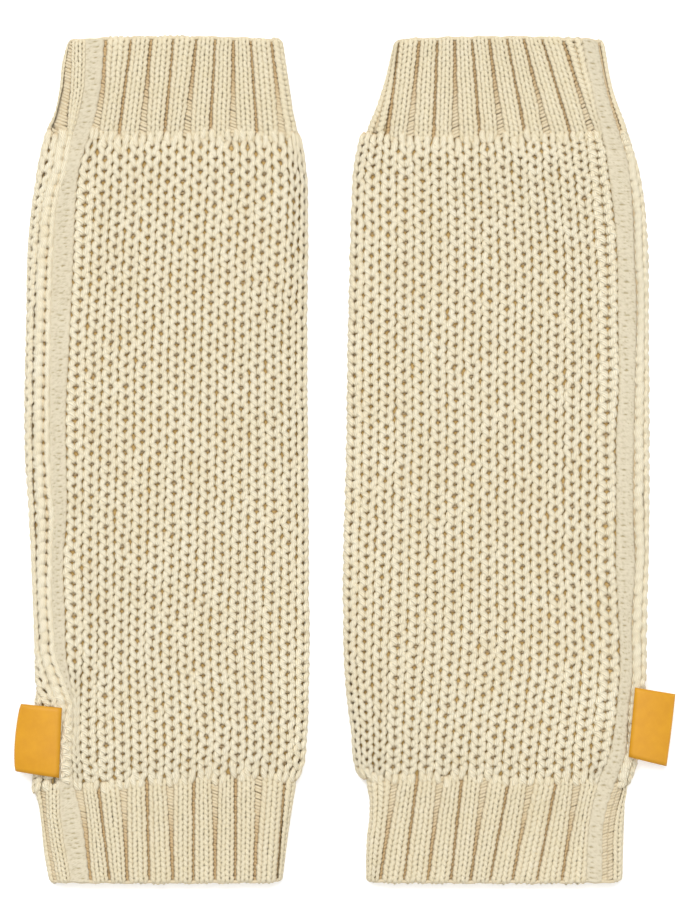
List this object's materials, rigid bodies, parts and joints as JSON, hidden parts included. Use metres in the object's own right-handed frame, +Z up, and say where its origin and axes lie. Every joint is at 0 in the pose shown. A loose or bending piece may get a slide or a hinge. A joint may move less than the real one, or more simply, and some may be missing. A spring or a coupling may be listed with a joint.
{
  "type": "pair of knitted arm warmers",
  "caption": "Pair of knitted arm warmers laid flat side by side: chunky tubes with ribbed cuffs at both ends, a flat side seam and a small ribbon flag label.",
  "frame": {"origin": "centre of the pair's bounding box on the surface that they lie on", "axes": "+Y from the lower cuffs to the upper cuffs, +X from the left warmer to the right one seen from above, +Z up from the surface"},
  "size_m": [0.233, 0.3, 0.0099],
  "materials": {
    "cardigan_cotton": "matt chunky half-cardigan knit in plied cream cotton yarn",
    "rib_cotton": "matt fine ribbed knit in the same cream yarn",
    "seam_cotton": "matt flat linked seam, finely stitched",
    "label_ribbon": "woven satin ribbon with a soft sheen, left bare"
  },
  "bodies": {
    "root": {"left_body": "cardigan_cotton", "left_upper_cuff": "rib_cotton", "left_lower_cuff": "rib_cotton", "left_seam": "seam_cotton", "left_label": "label_ribbon", "right_body": "cardigan_cotton", "right_upper_cuff": "rib_cotton", "right_lower_cuff": "rib_cotton", "right_seam": "seam_cotton", "right_label": "label_ribbon"}
  },
  "joints": []
}
